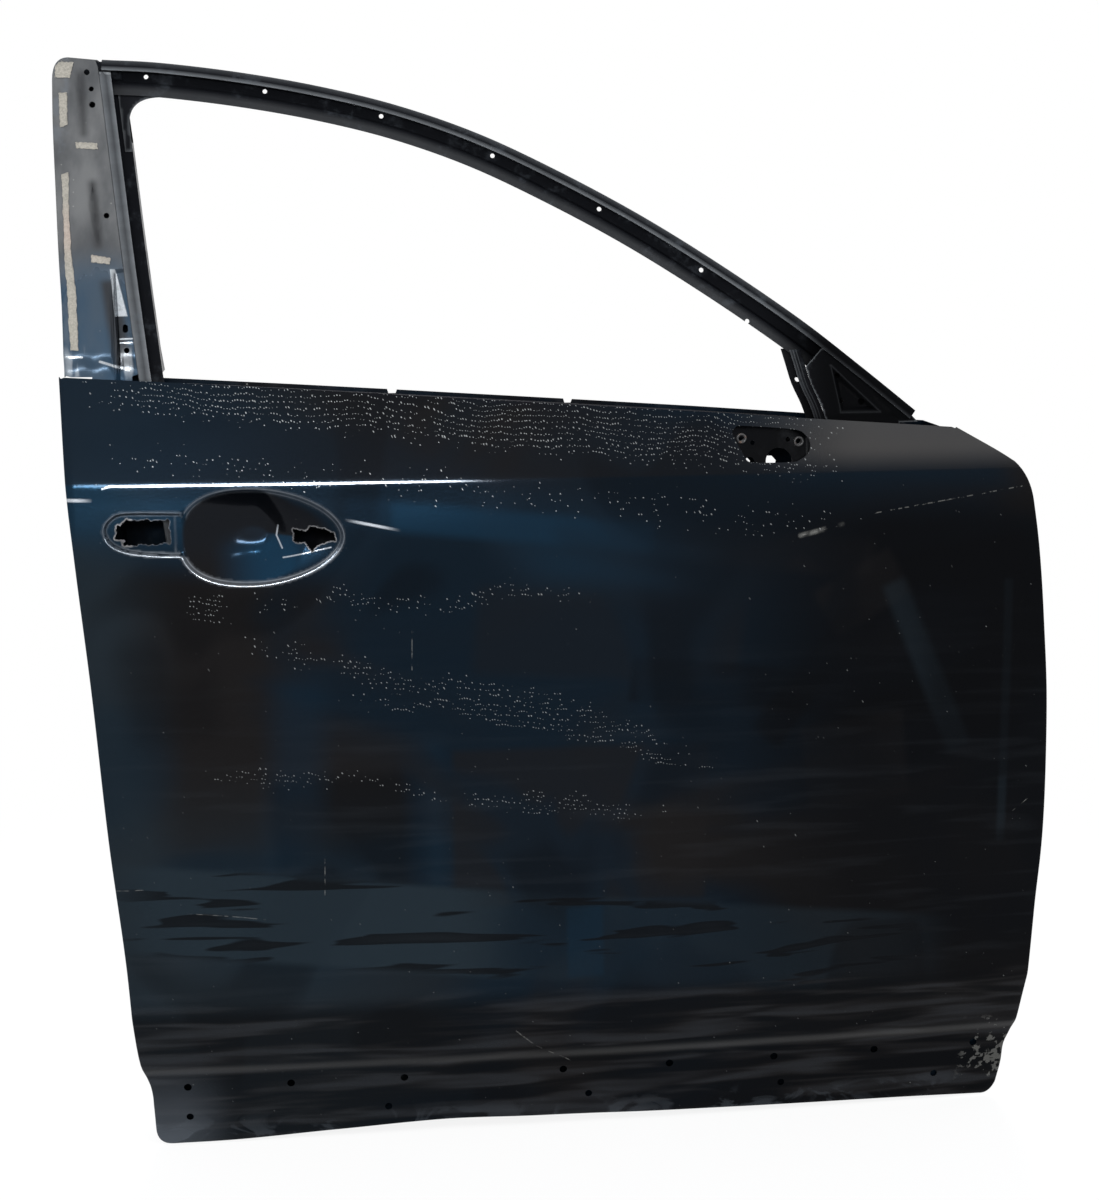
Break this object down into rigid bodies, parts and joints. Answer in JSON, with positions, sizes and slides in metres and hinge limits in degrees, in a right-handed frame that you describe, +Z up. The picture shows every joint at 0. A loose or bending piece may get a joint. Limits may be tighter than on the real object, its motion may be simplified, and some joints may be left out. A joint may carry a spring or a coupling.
{
  "type": "car door shell",
  "caption": "Front side door of a car as a bare shell: painted skin with handle recess and mirror opening, inner panel, open window frame, impact beam and reinforcements.",
  "frame": {"origin": "under the middle of the door, in the middle of its bounding box's base, at the height of the skin's lowest edge", "axes": "+X to the front of the car, -Y to the outside of the car, +Z up as the door hangs"},
  "size_m": [1.1235, 0.2133, 1.235],
  "materials": {
    "navy_paint": "gloss",
    "grey_primer": "satin",
    "black_coat": "satin",
    "bare_steel": "satin",
    "foam": "matte",
    "mastic": "matte"
  },
  "bodies": {
    "root": {"outer_panel": "navy_paint", "inner_panel": "navy_paint", "pillar_inner": "navy_paint", "header_rail_inner": "navy_paint", "front_run_channel": "navy_paint", "mirror_corner_panel": "navy_paint", "mirror_bracket": "navy_paint", "header_rail_outer": "grey_primer", "pillar_panel": "grey_primer", "rear_run_channel": "grey_primer", "corner_gusset": "black_coat", "front_sash_foot": "black_coat", "belt_reinforcement_outer": "black_coat", "belt_reinforcement_inner": "black_coat", "impact_beam": "black_coat", "beam_bracket_front": "black_coat", "beam_bracket_rear": "black_coat", "front_run_bracket": "black_coat", "rear_run_bracket": "black_coat", "lock_reinforcement": "black_coat", "hinge_reinforcement_upper": "bare_steel", "hinge_reinforcement_lower": "bare_steel", "check_reinforcement": "bare_steel", "latch_reinforcement": "bare_steel", "hinge_nut_upper_1": "bare_steel", "hinge_nut_upper_2": "bare_steel", "hinge_nut_lower_1": "bare_steel", "hinge_nut_lower_2": "bare_steel", "check_nut_1": "bare_steel", "check_nut_2": "bare_steel", "mirror_nut_1": "bare_steel", "mirror_nut_2": "bare_steel", "foam_tape_corner": "foam", "foam_tape_upper": "foam", "foam_tape_middle": "foam", "foam_tape_long": "foam", "foam_tape_lower": "foam", "mastic_pad_1": "mastic", "mastic_pad_2": "mastic", "mastic_pad_3": "mastic"}
  },
  "joints": []
}
